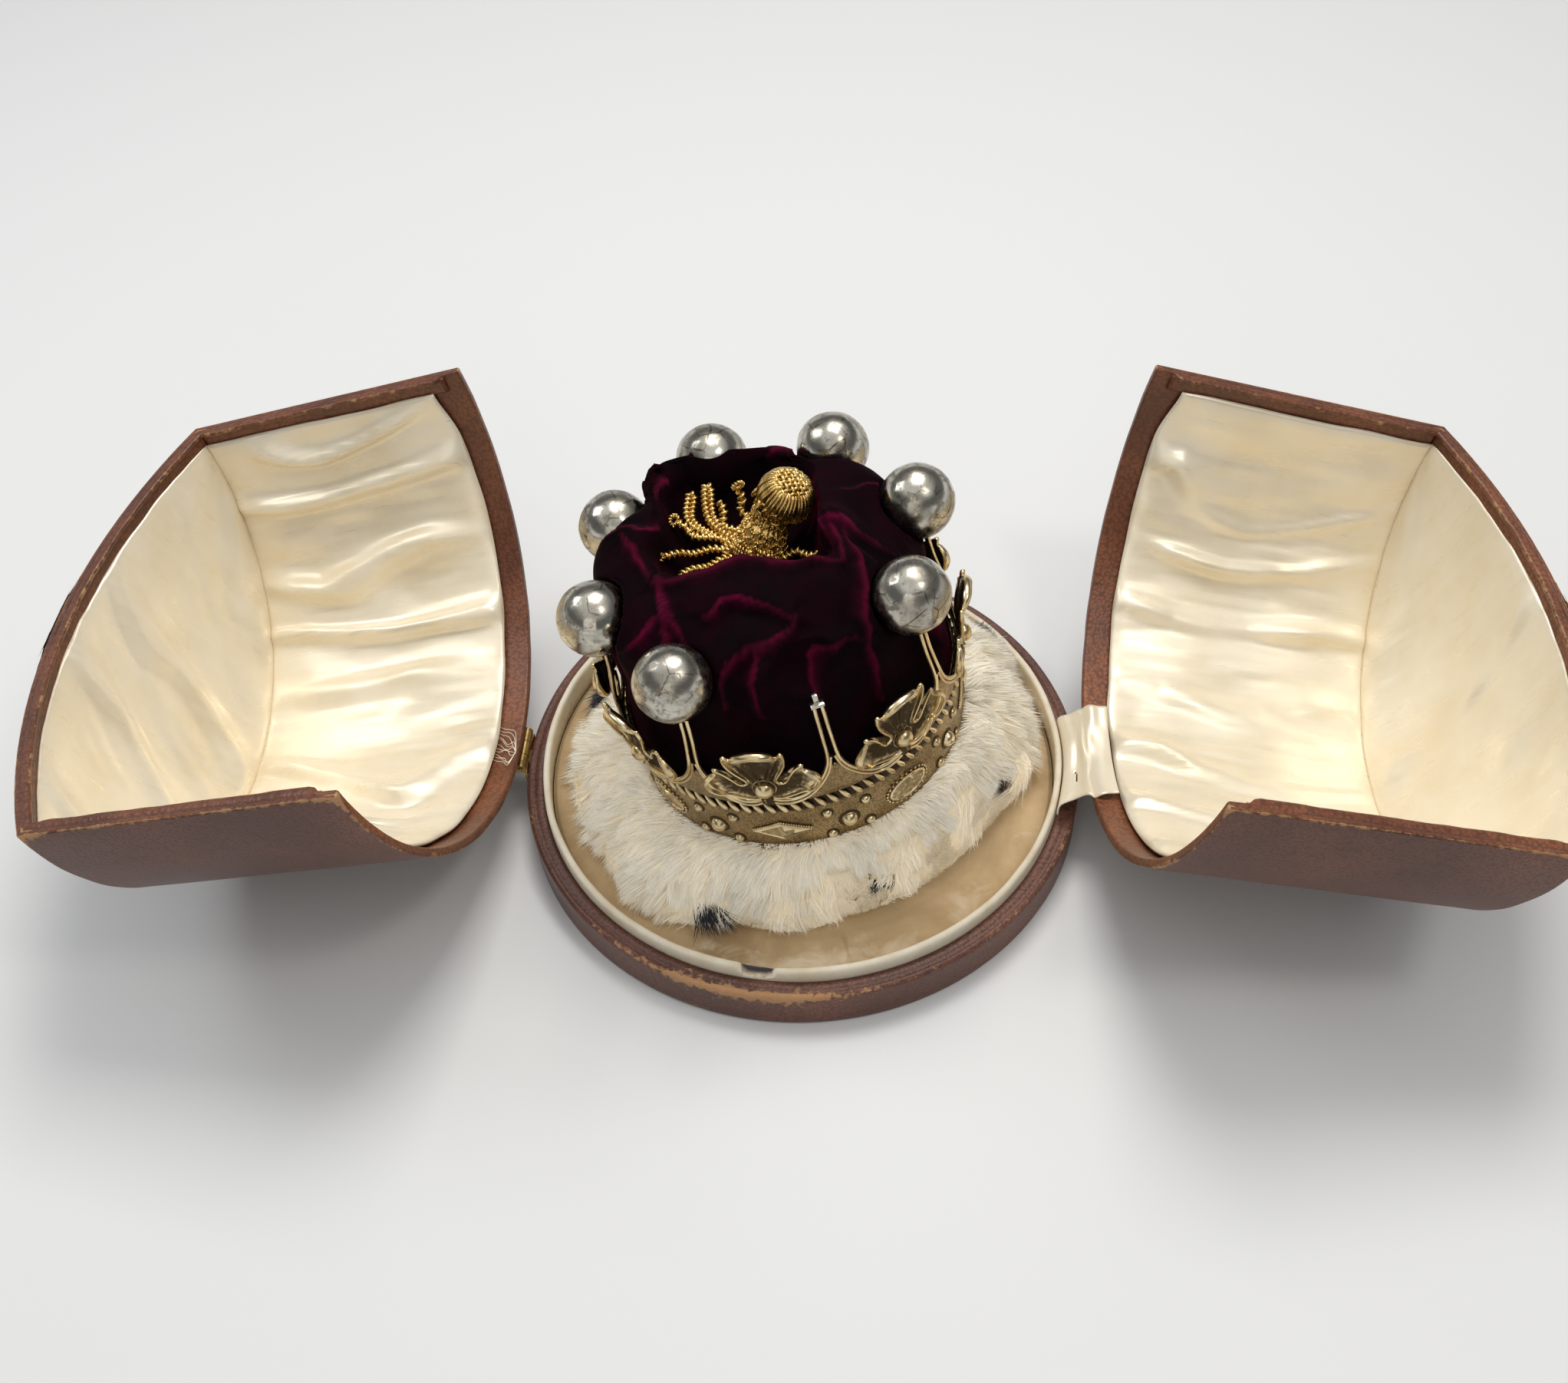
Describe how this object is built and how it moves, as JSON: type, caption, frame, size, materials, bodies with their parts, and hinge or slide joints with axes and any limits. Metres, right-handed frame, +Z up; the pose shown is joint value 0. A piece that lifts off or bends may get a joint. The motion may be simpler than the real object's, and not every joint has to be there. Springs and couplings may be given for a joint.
{
  "type": "peer's coronet in its open travelling case",
  "caption": "Silver-gilt coronet with raised balls on wire stalks, velvet cap, bullion tassel and fur roll, standing on the round base of a leather case whose two half covers lie open.",
  "frame": {"origin": "middle of the case base's underside, on the table", "axes": "+Z up, +X to the right cover, -Y to the front of the picture; the row is at rest with both covers open"},
  "size_m": [0.5578, 0.22, 0.1505],
  "materials": {
    "leather": "worn grained leather",
    "kid": "smooth cream kid leather",
    "plush": "worn silk plush",
    "satin": "cream silk satin over padding",
    "velvet": "crimson velvet",
    "fur": "white fur with small black tails",
    "bullion": "gold wire thread",
    "gilt": "chased silver gilt, rubbed",
    "silver": "polished silver, tarnished",
    "brass": "polished brass",
    "steel": "dark blued steel"
  },
  "bodies": {
    "root": {"case_base": "leather", "base_collar": "kid", "base_pad": "plush", "circlet": "gilt", "ball_1": "silver", "ball_2": "silver", "ball_3": "silver", "ball_4": "silver", "ball_5": "silver", "ball_6": "silver", "ball_7": "silver", "cap": "velvet", "tassel": "bullion", "ermine": "fur", "hinge_strip": "satin", "left_hinge_base": "brass", "left_hinge_pin": "brass", "right_hinge_base": "brass", "right_hinge_pin": "brass"},
    "left_cover": {"left_shell": "leather", "left_side_lining": "satin", "left_end_lining": "satin", "left_catch": "steel", "left_hinge_cover": "brass"},
    "right_cover": {"right_shell": "leather", "right_side_lining": "satin", "right_end_lining": "satin", "right_hinge_cover": "brass", "clasp_leaf": "brass", "clasp_pin": "brass"},
    "clasp": {"clasp_lever": "brass"}
  },
  "joints": [
    {"name": "left_cover_hinge", "type": "hinge", "parent": "root", "child": "left_cover", "pos_m": [-0.112, 0, 0.0205], "axis": [0, 1, 0], "range_deg": [0, 103.8]},
    {"name": "right_cover_hinge", "type": "hinge", "parent": "root", "child": "right_cover", "pos_m": [0.112, 0, 0.0205], "axis": [0, -1, 0], "range_deg": [0, 103.8], "deforming": ["hinge_strip"]},
    {"name": "clasp_hinge", "type": "hinge", "parent": "right_cover", "child": "clasp", "pos_m": [0.27833, 0, 0.09086], "axis": [0, -1, 0], "range_deg": [-12, 158]}
  ]
}
